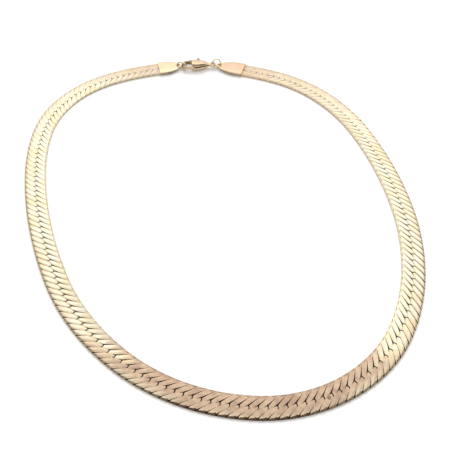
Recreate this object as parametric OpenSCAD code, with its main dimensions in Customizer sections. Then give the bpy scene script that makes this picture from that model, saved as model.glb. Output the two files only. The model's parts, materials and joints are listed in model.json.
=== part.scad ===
// Herringbone chain necklace, fastened with a lobster clasp and lying flat on a surface.
// Millimetres, +Z up. The clasp is at the back (+Y) and the front of the necklace at -Y.
// A place on the chain is [along, across]: the way round the course, and out from its middle line.

/* [Chain] */
// Width of the flat chain
chain_w = 7.4; // [7.2:0.1:7.6]
// Thickness of the chain
chain_t = 0.9; // [0.85:0.05:1]
// Number of loose links between the soldered ends
link_count = 161; // [155:1:165]
// Slit between neighbouring bars, measured along the chain
slit = 0.2; // [0.18:0.01:0.24]
// Clear height between the upper and the lower bars
layer_gap = 0.12; // [0.1:0.01:0.14]
// How far beyond the middle line the tip of a bar reaches
tip_reach = 0.44; // [0.4:0.01:0.5]

/* [End caps] */
// Width of an end cap
cap_w = 8.3; // [8:0.1:8.6]
// Thickness of an end cap where it holds the chain
cap_t = 1.5; // [1.4:0.1:1.6]
// Thickness of an end cap round its hole
cap_tip_t = 0.6; // [0.5:0.1:0.7]
// Radius of the hole in an end cap
cap_hole_r = 0.85; // [0.85:0.01:0.87]
// Radius of the round tip of an end cap
cap_tip_r = 1.4; // [1.38:0.01:1.42]
// Right cap, from its hole to the edge that holds the chain
right_cap_l = 10.4; // [10:0.1:10.8]
// Left cap, from its hole to the edge that holds the chain
left_cap_l = 8.2; // [8:0.1:8.5]
// Solid soldered stretch of chain beside the right cap
right_solder_l = 7.6; // [7:0.1:8]
// Solid soldered stretch of chain beside the left cap
left_solder_l = 6; // [5.6:0.1:6.4]

/* [Clasp] */
// Thickness of the clasp's body
claw_t = 3; // [3:0.1:3.2]
// Greatest width of the clasp's body
claw_w = 5.9; // [5.8:0.05:6]
// Diameter of the hook's wire
hook_d = 1.4; // [1.35:0.05:1.45]
// Radius of the hook's curl, to the middle of its wire
hook_curl_r = 2.2; // [2.2:0.01:2.22]
// Height of the lever
lever_t = 1.2; // [1.1:0.05:1.25]
// Diameter of the lever's pin
pin_d = 0.8; // [0.7:0.05:0.85]
// Wire of the ring between the clasp and the right cap
tail_ring_wire_d = 0.6; // [0.5:0.05:0.65]
// Radius of that ring, to the middle of its wire
tail_ring_r = 1.75; // [1.73:0.01:1.78]
// Wire of the oval ring that the hook holds
catch_ring_wire_d = 0.6; // [0.5:0.05:0.65]

/* [Hidden] */

// The course of the middle line, clockwise from the right cap round to the left cap.
// Columns: length along the arc, radius of the arc.
COURSE = [
    [10.9, 104.97],
    [27.7, 53.52],
    [23.2, 72.05],
    [41.7, 156.38],
    [27.5, 105.53],
    [23.3, 77.46],
    [53, 46.09],
    [39.7, 63.42],
    [36.6, 85.04],
    [52.5, 185.07],
    [21.6, 99.04],
    [44.2, 41.58],
    [19.1, 80.32]
];
course_start = [12.19, 75.75];
course_heading = -16.2;

// Direction of a heading, and the direction out of the loop at that heading.
function ahead(heading) = [cos(heading), sin(heading)];
function outward(heading) = [-sin(heading), cos(heading)];
function turn_of(row) = row[0] / row[1] * 180 / PI;

// Start of each arc, and the end of the last. Columns: point, heading, length so far.
function stations(i, point, heading, length) = concat(
    [[point, heading, length]],
    i == len(COURSE) ? [] : let (
        row = COURSE[i],
        leaving = heading - turn_of(row),
        next = point + row[1] * (outward(leaving) - outward(heading))
    ) stations(i + 1, next, leaving, length + row[0])
);
STATIONS = stations(0, course_start, course_heading, 0);
course_l = STATIONS[len(COURSE)][2];

function arc_at(along, i = 0) =
    i == len(COURSE) - 1 || along < STATIONS[i + 1][2] ? i : arc_at(along, i + 1);

// Point of the surface for a place on the chain.
function on_course(place) = let (
    i = arc_at(place[0]),
    radius = COURSE[i][1],
    centre = STATIONS[i][0] - radius * outward(STATIONS[i][1]),
    heading = STATIONS[i][1] - (place[0] - STATIONS[i][2]) / radius * 180 / PI
) centre + (radius + place[1]) * outward(heading);

function on_course_all(places) = [for (place = places) on_course(place)];

// The slits of the upper face repeat once a pitch. From the inner edge a slit runs forward to
// the middle, steps back across it, and runs forward again to the outer edge.
half_w = chain_w / 2;
pitch = (course_l - right_solder_l - left_solder_l) / link_count;
run = 1.31 * pitch;
step_back = 0.12 * pitch;
// A slit reaches the outer edge this far ahead of where it left the inner edge.
lead = 2 * run - step_back;
// How far a link's outer end lies ahead of its inner one.
edge_shift = lead - 2 * pitch;
run_slope = run / (half_w - tip_reach);
tip_slope = 2 * tip_reach / (pitch - step_back);
// Clearance between two tips that meet near the middle line.
tip_gap = 0.08;
bar_t = (chain_t - layer_gap) / 2;

// One upper bar, as [along, across] from where its rear slit leaves the inner edge.
BAR = [
    [slit / 2, -half_w],
    [run + slit / 2 - tip_gap * run_slope, -tip_reach - tip_gap],
    [pitch + run - step_back - slit / 2, tip_reach - tip_gap - slit / 2 * tip_slope],
    [pitch + run - slit / 2, -tip_reach],
    [pitch - slit / 2, -half_w]
];

// The solder between the layers, set in a little from the sides of the bars.
inset = 0.03;
wrap_depth = 0.5;
EDGE_WRAP = [
    [edge_shift + slit / 2 + inset, -half_w],
    [pitch - slit / 2 - inset, -half_w],
    [pitch - slit / 2 - inset + (wrap_depth - inset) * run_slope, -half_w + wrap_depth],
    [edge_shift + slit / 2 + inset - (wrap_depth - inset) * run_slope, -half_w + wrap_depth]
];
TIP_POST = [
    [run + (tip_reach + tip_gap) / tip_slope + inset / tip_slope, 0],
    [BAR[2][0] - inset, BAR[2][1] - 2 * inset],
    [pitch + run - step_back / 2 - slit / 2 - inset, 0],
    [BAR[2][0] - inset, 2 * inset - BAR[2][1]]
];

// A link's other bars are the first one turned and mirrored within the link.
function moved(outline, start) = [for (p = outline) [start + p[0], p[1]]];
function mirrored(outline) = [for (p = outline) [p[0], -p[1]]];
function turned(outline) = [for (p = outline) [pitch + edge_shift - p[0], -p[1]]];

function link_start(i) = right_solder_l + i * pitch;

module layer(outlines, start, z, height) {
    translate([0, 0, z])
        for (outline = outlines)
            linear_extrude(height)
                polygon(on_course_all(moved(outline, start)));
}

// What joins a link's upper bars to its lower ones: a wrap at each edge, a post at each tip.
module joints_of(start) {
    layer([EDGE_WRAP, mirrored(EDGE_WRAP), TIP_POST, turned(TIP_POST)], start, bar_t, layer_gap);
}

// A closed loop of flat wire: two bars above, two below, crossing each other.
module link(start) {
    layer([BAR, turned(BAR)], start, bar_t + layer_gap, bar_t);
    joints_of(start);
    layer([mirrored(BAR), mirrored(turned(BAR))], start, 0, bar_t);
}

// The links are listed in two halves that meet, and interlock, at the front.
front_link = floor(link_count / 2);

module links_right() {
    color("#d9bd95")
        for (i = [0 : front_link - 1])
            link(link_start(i));
}

module links_left() {
    color("#d3b488")
        for (i = [front_link : link_count - 1])
            link(link_start(i));
}

// Edge of the soldered stretch: the front ends of the last link's bars, from the inner edge
// of the chain to the outer one, measured from where the first loose link starts.
SOLDER_EDGE = [
    [-slit / 2, -half_w],
    [run - slit / 2, -tip_reach],
    [BAR[2][0] - pitch, BAR[2][1]],
    [run - pitch - slit / 2, -tip_reach - tip_gap],
    [BAR[2][0] - 2 * pitch, BAR[2][1]],
    [run - 2 * pitch - slit / 2, -tip_reach - tip_gap],
    [run - step_back - 2 * pitch - slit / 2, tip_reach],
    [lead - 2 * pitch - slit / 2, half_w]
];
function away(outline) = [
    for (i = [len(outline) - 1 : -1 : 0]) [edge_shift - outline[i][0], -outline[i][1]]
];

// The chain's two edges between the cap and the edge of the solder, in short steps.
function edge_steps(from, to, across) = let (steps = 4)
    [for (k = [0 : steps]) [from + (to - from) * k / steps, across]];

// Soldered stretch of chain, from a cap to the edge of the solder. Its layers are joined all over
// up to core_side, and beyond it only where its own bars would be.
cap_weld = 0.4;
core_clear = 0.9 * pitch;
module soldered(cap_side, edge, loose_start, core_side, partners) {
    inner = edge_steps(cap_side, loose_start + edge[0][0], -half_w);
    outer = edge_steps(loose_start + edge[len(edge) - 1][0], cap_side, half_w);
    outline = concat(inner, moved(edge, loose_start), outer);
    core = concat(edge_steps(cap_side, core_side, -half_w), edge_steps(core_side, cap_side, half_w));
    translate([0, 0, bar_t + layer_gap])
        linear_extrude(bar_t)
            polygon(on_course_all(outline));
    translate([0, 0, bar_t])
        linear_extrude(layer_gap)
            polygon(on_course_all(core));
    for (start = partners)
        joints_of(start);
    linear_extrude(bar_t)
        polygon(on_course_all(mirrored(outline)));
}

// End cap: a leaf-shaped plate from the chain (x = 0) to the hole (x = l), lifted at its tip.
// The plate slopes up to the tip underneath and down to it on top.
cap_straight = 0.28;
cap_lift = 0.76;
under_slope_l = 2;
over_slope_l = 3;
function leaf(l) = let (
    start = cap_straight * l,
    half = cap_w / 2,
    bow = (pow(l - start, 2) + pow(half, 2) - pow(cap_tip_r, 2)) / (2 * (half - cap_tip_r)),
    touch = atan2(l - start, bow - half)
) concat(
    [[0, half]],
    [for (k = [0 : 8]) let (a = touch * k / 8)
        [start + bow * sin(a), half - bow + bow * cos(a)]],
    [for (k = [1 : 5]) let (a = touch + (90 - touch) * k / 5)
        [l + cap_tip_r * sin(a), cap_tip_r * cos(a)]]
);
function both_sides(half_outline) = concat(
    half_outline,
    [for (i = [len(half_outline) - 1 : -1 : 0]) [half_outline[i][0], -half_outline[i][1]]]
);

module cap_plate(l) {
    side = [
        [0, 0],
        [l - cap_tip_r - under_slope_l, 0],
        [l - cap_tip_r, cap_lift],
        [l + 2 * cap_tip_r, cap_lift],
        [l + 2 * cap_tip_r, cap_lift + cap_tip_t],
        [l - cap_tip_r, cap_lift + cap_tip_t],
        [l - cap_tip_r - over_slope_l, cap_t],
        [0, cap_t]
    ];
    difference() {
        intersection() {
            linear_extrude(cap_t)
                polygon(both_sides(leaf(l)));
            translate([0, cap_w / 2 + 1, 0])
                rotate([90, 0, 0])
                    linear_extrude(cap_w + 2)
                        polygon(side);
        }
        translate([l, 0, -1])
            cylinder(h = cap_t + 2, r = cap_hole_r, $fn = 48);
    }
}

// The two ends of the course, and the cap holes beyond them.
course_end = STATIONS[len(COURSE)][0];
end_heading = STATIONS[len(COURSE)][1];
right_hole = course_start - right_cap_l * ahead(course_heading);
left_hole = course_end + left_cap_l * ahead(end_heading);

module end_cap_right() {
    color("#dcb88c") {
        translate(course_start)
            rotate(course_heading + 180)
                cap_plate(right_cap_l);
        soldered(-cap_weld, SOLDER_EDGE, link_start(0), link_start(0) - core_clear,
                 [link_start(-1), link_start(-2)]);
    }
}

module end_cap_left() {
    color("#e0cb98") {
        translate(course_end)
            rotate(end_heading)
                cap_plate(left_cap_l);
        soldered(course_l + cap_weld, away(SOLDER_EDGE), link_start(link_count),
                 link_start(link_count) + edge_shift + core_clear,
                 [link_start(link_count), link_start(link_count + 1)]);
    }
}

// The clasp's frame: x from the left hole towards the right hole, y away from the neck opening.
clasp_span = norm(right_hole - left_hole);
clasp_turn = atan2(right_hole[1] - left_hole[1], right_hole[0] - left_hole[0]);
module in_clasp() {
    translate(left_hole)
        rotate(clasp_turn)
            children();
}

// A ring stands just off the floor and passes through the hole of a plate that lies between the
// heights low and high. The hole's middle is this far from the middle of the ring's round end:
// halfway between the ring's inner side at the plate's lower face and its outermost point there.
rest_gap = 0.02;
function middle_z(r, wire_d, lean) = r * cos(lean) + wire_d / 2 + rest_gap;
function half_chord(r, rise) = sqrt(pow(r, 2) - pow(rise, 2));
function crossing(r, wire_d, lean, low, high) = let (
    middle = middle_z(r, wire_d, lean),
    low_rise = (middle - low) / cos(lean),
    high_rise = max(0, (middle - high) / cos(lean))
) (half_chord(r - wire_d / 2, low_rise) + half_chord(r + wire_d / 2, high_rise)) / 2;
claw_z = claw_t / 2;

// Oval ring of the left cap, standing in its hole and round the hook.
catch_end_r = 1.3;
catch_reach = 3.6;
catch_turn = -13;
catch_straight = catch_reach - catch_end_r
    - crossing(catch_end_r, catch_ring_wire_d, 0, cap_lift, cap_lift + cap_tip_t);

module half_ring(r, wire_d) {
    rotate([90, 0, 0])
        rotate(-90)
            rotate_extrude(angle = 180, $fn = 48)
                translate([r, 0])
                    circle(d = wire_d, $fn = 24);
}

module catch_ring() {
    color("#c9a877")
        in_clasp()
            rotate(catch_turn)
                translate([catch_reach - catch_end_r, 0, middle_z(catch_end_r, catch_ring_wire_d, 0)]) {
                    half_ring(catch_end_r, catch_ring_wire_d);
                    translate([-catch_straight, 0, 0])
                        rotate(180)
                            half_ring(catch_end_r, catch_ring_wire_d);
                    for (side = [-1, 1])
                        translate([-catch_straight, 0, side * catch_end_r])
                            rotate([0, 90, 0])
                                cylinder(h = catch_straight, d = catch_ring_wire_d, $fn = 24);
                }
}

// Round ring between the right cap and the clasp's tail, leaning back a little. It passes through
// the middle of both holes.
tail_lean = 25;
tail_middle_z = middle_z(tail_ring_r, tail_ring_wire_d, tail_lean);
function lean_y(z) = (z - tail_middle_z) * tan(tail_lean);
tail_ring_y = -lean_y(cap_lift + cap_tip_t / 2);
tail_to_cap =
    crossing(tail_ring_r, tail_ring_wire_d, tail_lean, cap_lift, cap_lift + cap_tip_t);
eye_t = 1;
tail_to_eye =
    crossing(tail_ring_r, tail_ring_wire_d, tail_lean, claw_z - eye_t / 2, claw_z + eye_t / 2);

module tail_ring() {
    color("#cfb184")
        in_clasp()
            translate([clasp_span - tail_to_cap, tail_ring_y, tail_middle_z])
                rotate([90 - tail_lean, 0, 0])
                    rotate_extrude($fn = 48)
                        translate([tail_ring_r, 0])
                            circle(d = tail_ring_wire_d, $fn = 24);
}

// The clasp is measured from the middle of its hook's curl.
curl_at = [4.35, -0.1];
hook_tip_angle = 112;
hook_tip_x = -1.2;
eye = [clasp_span - tail_to_cap - tail_to_eye, tail_ring_y + lean_y(claw_z)] - curl_at;
eye_r = 1.25;
eye_hole_r = 0.74;
body_r = claw_w / 2;
body_x = 3.6;
body_left = 1.5;
tail_x = eye[0] - 1.2;
tail_r = 0.85;
// The body keeps its full thickness up to full_x, and has the eye's thickness from thin_x on.
full_x = body_x + 1.8;
thin_x = eye[0] - 1.4;
slot_gap = 0.1;
slot_y = -0.45;
pivot = [5.95, 0.9];
hub_r = 1.1;
hub_gap = 0.2;
pin_bore_gap = 0.04;
lever_bore_gap = 0.06;
pin_set_in = 0.1;

module in_claw() {
    in_clasp()
        translate([curl_at[0], curl_at[1], 0])
            children();
}

// Plan of the body: a drop, round at the hook's side and slender at the tail.
function drop_outline() = let (
    half = acos((body_r - tail_r) / (tail_x - body_x))
) concat(
    [for (k = [0 : 24]) let (a = half + (360 - 2 * half) * k / 24)
        [body_x + body_r * cos(a), body_r * sin(a)]],
    [for (k = [0 : 6]) let (a = -half + 2 * half * k / 6) [tail_x + tail_r * cos(a), tail_r * sin(a)]]
);

module hook() {
    translate([0, 0, claw_z]) {
        difference() {
            rotate(hook_tip_angle)
                rotate_extrude(angle = 270 - hook_tip_angle, $fn = 64)
                    translate([hook_curl_r, 0])
                        circle(d = hook_d, $fn = 24);
            translate([hook_tip_x, 0, -claw_t])
                cube([claw_t, 2 * claw_t, 2 * claw_t]);
        }
        translate([0, -hook_curl_r, 0])
            rotate([0, 90, 0])
                cylinder(h = body_x - hook_d / 2, d = hook_d, $fn = 24);
    }
}

module drop_body() {
    side = [
        [body_left, 0],
        [full_x, 0],
        [thin_x, claw_z - eye_t / 2],
        [eye[0], claw_z - eye_t / 2],
        [eye[0], claw_z + eye_t / 2],
        [thin_x, claw_z + eye_t / 2],
        [full_x, claw_t],
        [body_left, claw_t]
    ];
    intersection() {
        linear_extrude(claw_t)
            polygon(drop_outline());
        translate([0, claw_w, 0])
            rotate([90, 0, 0])
                linear_extrude(2 * claw_w)
                    polygon(side);
    }
}

module claw_body() {
    slot_t = lever_t + 2 * slot_gap;
    color("#c8a274")
        in_claw()
            difference() {
                union() {
                    hook();
                    drop_body();
                    translate([eye[0], eye[1], claw_z - eye_t / 2])
                        cylinder(h = eye_t, r = eye_r, $fn = 48);
                }
                translate([0, slot_y, claw_z - slot_t / 2])
                    cube([pivot[0] + hub_r + hub_gap, claw_w, slot_t]);
                translate([pivot[0], pivot[1], -1])
                    cylinder(h = claw_t + 2, r = pin_d / 2 + pin_bore_gap, $fn = 32);
                translate([eye[0], eye[1], -1])
                    cylinder(h = claw_t + 2, r = eye_hole_r, $fn = 48);
            }
}

// Plan of the lever: its blade closes the hook, its nub stands out for the thumb, and its round
// hub turns on the pin.
BLADE = [
    [-0.95, 1.2],
    [-0.78, 2.1],
    [0.4, 2.6],
    [2, 2.85],
    [3.2, 3],
    [3.8, 4.1],
    [4.1, 4.38],
    [4.45, 4.3],
    [4.9, 2.9],
    [5.6, 2.25],
    for (a = [50 : -18.75 : -100]) pivot + hub_r * ahead(a),
    [3.6, 0.5],
    [1.4, 1.05]
];

module claw_lever() {
    color("#6f5f41")
        in_claw()
            translate([0, 0, claw_z - lever_t / 2])
                difference() {
                    linear_extrude(lever_t)
                        polygon(BLADE);
                    translate([pivot[0], pivot[1], -1])
                        cylinder(h = lever_t + 2, r = pin_d / 2 + lever_bore_gap, $fn = 32);
                }
}

module lever_pin() {
    color("#b79a6d")
        in_claw()
            translate([pivot[0], pivot[1], pin_set_in])
                cylinder(h = claw_t - 2 * pin_set_in, d = pin_d, $fn = 32);
}

links_right();
links_left();
end_cap_right();
end_cap_left();
catch_ring();
tail_ring();
claw_body();
claw_lever();
lever_pin();
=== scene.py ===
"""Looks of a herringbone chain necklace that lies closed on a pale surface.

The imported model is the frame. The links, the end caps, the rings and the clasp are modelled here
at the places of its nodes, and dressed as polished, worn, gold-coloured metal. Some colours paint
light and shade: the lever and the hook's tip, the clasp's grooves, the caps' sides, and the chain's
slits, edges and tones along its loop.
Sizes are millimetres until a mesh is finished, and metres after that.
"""

from __future__ import annotations

import json
import logging
import math
import random
from dataclasses import astuple, dataclass, field
from enum import Enum
from typing import Iterable, Sequence, Union

import bmesh
import bpy
from bmesh.types import BMEdge, BMesh, BMFace, BMVert
from bpy.types import Material, Object
from mathutils import Matrix, Vector

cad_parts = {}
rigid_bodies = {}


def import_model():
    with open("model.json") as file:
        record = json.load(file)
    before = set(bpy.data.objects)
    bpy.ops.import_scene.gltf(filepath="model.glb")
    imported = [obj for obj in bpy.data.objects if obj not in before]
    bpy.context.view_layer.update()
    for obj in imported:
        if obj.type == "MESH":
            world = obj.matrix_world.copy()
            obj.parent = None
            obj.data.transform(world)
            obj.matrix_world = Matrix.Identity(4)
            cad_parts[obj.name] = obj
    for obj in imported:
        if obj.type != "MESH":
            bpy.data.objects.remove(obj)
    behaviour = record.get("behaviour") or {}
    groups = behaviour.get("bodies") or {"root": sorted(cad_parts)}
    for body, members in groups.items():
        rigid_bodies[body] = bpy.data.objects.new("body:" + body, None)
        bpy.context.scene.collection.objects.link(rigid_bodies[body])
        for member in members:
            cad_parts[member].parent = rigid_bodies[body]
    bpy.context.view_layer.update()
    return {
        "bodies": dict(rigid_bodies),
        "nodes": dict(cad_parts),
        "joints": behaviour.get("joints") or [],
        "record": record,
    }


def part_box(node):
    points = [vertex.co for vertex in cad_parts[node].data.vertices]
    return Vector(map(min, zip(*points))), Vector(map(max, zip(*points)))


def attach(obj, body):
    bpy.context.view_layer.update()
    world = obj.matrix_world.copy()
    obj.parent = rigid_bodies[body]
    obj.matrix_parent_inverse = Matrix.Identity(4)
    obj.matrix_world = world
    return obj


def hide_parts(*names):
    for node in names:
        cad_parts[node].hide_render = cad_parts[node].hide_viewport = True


MM = 0.001
ROOT_BODY = "necklace"
LEVER_BODY = "lever"

log = logging.getLogger("necklace")

Flat = tuple[float, float]
Point = tuple[float, float, float]
Colour = tuple[float, float, float]
Value = Union["Wire", float, int]


@dataclass(eq=False)
class Wire:
    """An output socket of a node tree that takes part in ordinary arithmetic."""

    nodes: "Nodes"
    socket: bpy.types.NodeSocket

    def _math(self, operation: str, *values: Value) -> "Wire":
        """Adds a Math node that works on this socket and other values."""
        return self.nodes.add("ShaderNodeMath", {"operation": operation}, dict(enumerate(values)))

    def __add__(self, other: Value) -> "Wire":
        """Returns self + other."""
        return self._math("ADD", self, other)

    def __radd__(self, other: Value) -> "Wire":
        """Returns other + self."""
        return self._math("ADD", other, self)

    def __sub__(self, other: Value) -> "Wire":
        """Returns self - other."""
        return self._math("SUBTRACT", self, other)

    def __rsub__(self, other: Value) -> "Wire":
        """Returns other - self."""
        return self._math("SUBTRACT", other, self)

    def __mul__(self, other: Value) -> "Wire":
        """Returns self * other."""
        return self._math("MULTIPLY", self, other)

    def __rmul__(self, other: Value) -> "Wire":
        """Returns other * self."""
        return self._math("MULTIPLY", other, self)

    def __truediv__(self, other: Value) -> "Wire":
        """Returns self / other."""
        return self._math("DIVIDE", self, other)

    def __pow__(self, other: Value) -> "Wire":
        """Returns self to the power of other."""
        return self._math("POWER", self, other)

    def clamped(self) -> "Wire":
        """Returns this value held between 0 and 1."""
        return self._math("MINIMUM", self._math("MAXIMUM", self, 0.0), 1.0)

    def above(self, low: float, high: float) -> "Wire":
        """Returns 0 up to low, 1 from high on, and a straight rise between them."""
        return ((self - low) / (high - low)).clamped()


@dataclass(eq=False)
class Nodes:
    """The node tree of one material or world, and the one way of adding a node to it."""

    tree: bpy.types.NodeTree

    def __post_init__(self) -> None:
        """Empties the tree."""
        self.tree.nodes.clear()

    def add(self, kind: str, settings: dict | None = None, inputs: dict | None = None,
            output: int | str = 0) -> Wire:
        """Adds a node, sets it, and joins or fills its sockets.

        Args:
            kind: The node's type.
            settings: The node's own settings. The key "stops" is a ramp's list of (place, colour).
            inputs: Socket name or number to a Wire or a plain value.
            output: Which output socket to return.

        Returns:
            The chosen output as a Wire.
        """
        node = self.tree.nodes.new(kind)
        for key, value in (settings or {}).items():
            if key == "stops":
                self._set_stops(node.color_ramp, value)
            else:
                setattr(node, key, value)
        for key, value in (inputs or {}).items():
            socket = node.inputs[key]
            if isinstance(value, Wire):
                self.tree.links.new(value.socket, socket)
            else:
                socket.default_value = value
        return Wire(self, node.outputs[output] if node.outputs else None)

    @staticmethod
    def _set_stops(ramp: bpy.types.ColorRamp, stops: Sequence[tuple[float, Colour]]) -> None:
        """Gives a colour ramp its stops.

        Args:
            ramp: The ramp.
            stops: The place and the colour of each stop, from the lowest up.
        """
        while len(ramp.elements) < len(stops):
            ramp.elements.new(1.0)
        for element, (place, colour) in zip(ramp.elements, stops):
            element.position = place
            element.color = (*colour, 1.0)

    def place(self, turn: Sequence[float] = (0, 0, 0), scale: Sequence[float] = (1, 1, 1)) -> Wire:
        """Adds the piece's Object coordinates, in metres.

        Args:
            turn: Degrees that they are turned by, about x, y and z.
            scale: Factors that they are scaled by after that.

        Returns:
            The coordinates.
        """
        coords = self.add("ShaderNodeTexCoord", output="Object")
        turned = tuple(math.radians(angle) for angle in turn)
        return self.add("ShaderNodeMapping", {},
                        {"Vector": coords, "Rotation": turned, "Scale": tuple(scale)})

    def noise(self, vector: Wire, scale: float, detail: float = 3.0, rough: float = 0.5) -> Wire:
        """Returns a noise of about 0 to 1."""
        return self.add("ShaderNodeTexNoise", {},
                        {"Vector": vector, "Scale": scale, "Detail": detail, "Roughness": rough})

    def attribute(self, name: str) -> Wire:
        """Returns one of the mesh's own number attributes."""
        return self.add("ShaderNodeAttribute", {"attribute_name": name}, output="Fac")

    def part(self, vector: Wire, number: int) -> Wire:
        """Returns the x, y or z of a vector, counted from 0."""
        return self.add("ShaderNodeSeparateXYZ", {}, {0: vector}, output=number)

    def mix(self, share: Value, low: Colour | Wire, high: Colour | Wire) -> Wire:
        """Returns a mixed colour, low where share is 0 and high where it is 1."""
        return self.add("ShaderNodeMix", {"data_type": "RGBA"},
                        {"Factor": share, 6: self._colour(low), 7: self._colour(high)}, output=2)

    @staticmethod
    def _colour(colour: Colour | Wire) -> Sequence[float] | Wire:
        """Gives a plain colour its alpha."""
        return colour if isinstance(colour, Wire) else (*colour, 1.0)

    def bump(self, height: Wire, distance_mm: float, strength: float) -> Wire:
        """Returns a normal bumped by a height of 0 to 1 that stands for a depth."""
        return self.add("ShaderNodeBump", {}, {"Height": height, "Strength": strength,
                                               "Distance": distance_mm * MM})

    def surface(self, **inputs: object) -> None:
        """Adds the surface's shader, its sockets named with _ for a space, and the output."""
        shader = self.add("ShaderNodeBsdfPrincipled", {},
                          {name.replace("_", " "): value for name, value in inputs.items()})
        self.add("ShaderNodeOutputMaterial", {}, {"Surface": shader})


def blank_material(name: str) -> tuple[Material, Nodes]:
    """Makes a material whose node tree is empty.

    Args:
        name: The material's name.

    Returns:
        The material and its node tree.
    """
    made = bpy.data.materials.new(name)
    made.use_nodes = True
    return made, Nodes(made.node_tree)


def show(item: Object) -> Object:
    """Puts an object into the scene, and returns it."""
    bpy.context.scene.collection.objects.link(item)
    return item


def placed(at: Sequence[float], height: float = 0.0, heading: float = 0.0) -> Matrix:
    """Returns the frame of a place in the plane, at a height and turned to a heading."""
    return Matrix.Translation((at[0], at[1], height)) @ Matrix.Rotation(heading, 4, "Z")


class Polish(Enum):
    """How much a metal surface scatters what it mirrors."""

    BRIGHT = 0.2
    SATIN = 0.24


@dataclass(frozen=True)
class GoldFinish:
    """Polished gold-coloured metal with cloudy colour, stains and fine scratches.

    Scales are noise cells per metre, and a pair is the span of a noise that it fades in over.
    A finish by place reads the mesh's own rose and tint, which are partly its tone and partly
    painted light and shade. The sunny patches are painted warm highlights.
    """

    name: str
    pale: Colour = (0.95, 0.89, 0.71)
    golden: Colour = (0.95, 0.76, 0.42)
    rose: Colour = (0.84, 0.61, 0.47)
    sunny: Colour = (0.88, 0.68, 0.46)
    stain: Colour = (0.40, 0.25, 0.17)
    polish: Polish = Polish.SATIN
    rose_share: float = 0.0
    stain_share: float = 0.15
    plain_tint: float = 0.2
    cloud_scale: float = 190.0
    cloud_gold: float = 0.45
    gold_clouds: Flat = (0.42, 0.62)
    patch_scale: float = 420.0
    patch_gold: float = 0.5
    gold_patches: Flat = (0.40, 0.75)
    even_gold: float = 0.25
    patch_rose: float = 0.5
    rose_patches: Flat = (0.62, 0.72)
    patch_sun: float = 0.8
    sunny_patches: Flat = (0.38, 0.62)
    speck_scale: float = 2600.0
    stain_specks: Flat = (0.52, 0.72)
    scratch_turns: tuple[float, ...] = (17.0, 74.0, 131.0)
    scratch_scale: Point = (60, 2600, 60)
    scratch_span: Flat = (0.60, 0.72)
    scratch_share: float = 0.6
    scratch_stain: float = 0.12
    cloud_rough: float = 0.08
    scratch_rough: float = 0.12
    rose_rough: float = 0.06
    scratch_relief: float = 0.6
    relief_mm: float = 0.006
    nick: Point | None = None
    nick_tone: Colour = (0.20, 0.14, 0.11)
    nick_radii: Flat = (0.4, 0.75)
    nick_share: float = 0.8
    by_place: bool = False

    def material(self) -> Material:
        """Makes the material.

        Returns:
            A new material.
        """
        made, nodes = blank_material(self.name)
        clouds = nodes.noise(nodes.place(), self.cloud_scale, 4.0, 0.6)
        patches = nodes.noise(nodes.place((0, 0, 40)), self.patch_scale, 3.0, 0.6)
        specks = nodes.noise(nodes.place(), self.speck_scale, 3.0, 0.7)
        scratches = self._scratches(nodes)
        blush = self.patch_rose * patches.above(*self.rose_patches)
        rose = self.rose_share + blush * (1 - self.rose_share)
        rough = self.polish.value + self.cloud_rough * clouds + self.scratch_rough * scratches
        tint: Value = self.plain_tint
        # By place, the mesh's rose and tint paint light and shade along the chain as well as its
        # tone.
        if self.by_place:
            rose = rose * 0.5 + nodes.attribute("rose")
            rough = rough + self.rose_rough * nodes.attribute("rose")
            tint = nodes.attribute("tint")
        golden = (clouds.above(*self.gold_clouds) * self.cloud_gold
                  + self.patch_gold * patches.above(*self.gold_patches) * tint
                  + self.even_gold * tint)
        gold = nodes.mix(golden.clamped(), self.pale, self.golden)
        # Warm patches in the rose tone: painted highlights.
        sunny = patches.above(*self.sunny_patches) * self.patch_sun
        colour = nodes.mix(rose.clamped(), gold, nodes.mix(sunny, self.rose, self.sunny))
        stained = (specks.above(*self.stain_specks) * self.stain_share
                   + self.scratch_stain * scratches)
        colour = nodes.mix(stained.clamped(), colour, self.stain)
        if self.nick:
            off = nodes.add("ShaderNodeVectorMath", {"operation": "DISTANCE"},
                            {0: nodes.place(), 1: Vector(self.nick) * MM}, output="Value")
            core, rim = (radius * MM for radius in self.nick_radii)
            nicked = (1 - off.above(core, rim)) * self.nick_share
            colour = nodes.mix(nicked, colour, self.nick_tone)
        relief = self.scratch_relief * scratches + (1 - self.scratch_relief) * specks
        nodes.surface(Base_Color=colour, Metallic=1.0, Roughness=rough.clamped(),
                      Normal=nodes.bump(relief, self.relief_mm, 0.5))
        return made

    def _scratches(self, nodes: Nodes) -> Wire:
        """Adds hairline scratches that run in a few directions.

        Args:
            nodes: The material's node tree.

        Returns:
            Their strength, 0 to 1.
        """
        streaks = (nodes.noise(nodes.place((0, 0, turn), self.scratch_scale), 1.0, 2.0, 0.6)
                   for turn in self.scratch_turns)
        total = sum(streak.above(*self.scratch_span) for streak in streaks)
        return (total * self.scratch_share).clamped()


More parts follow.
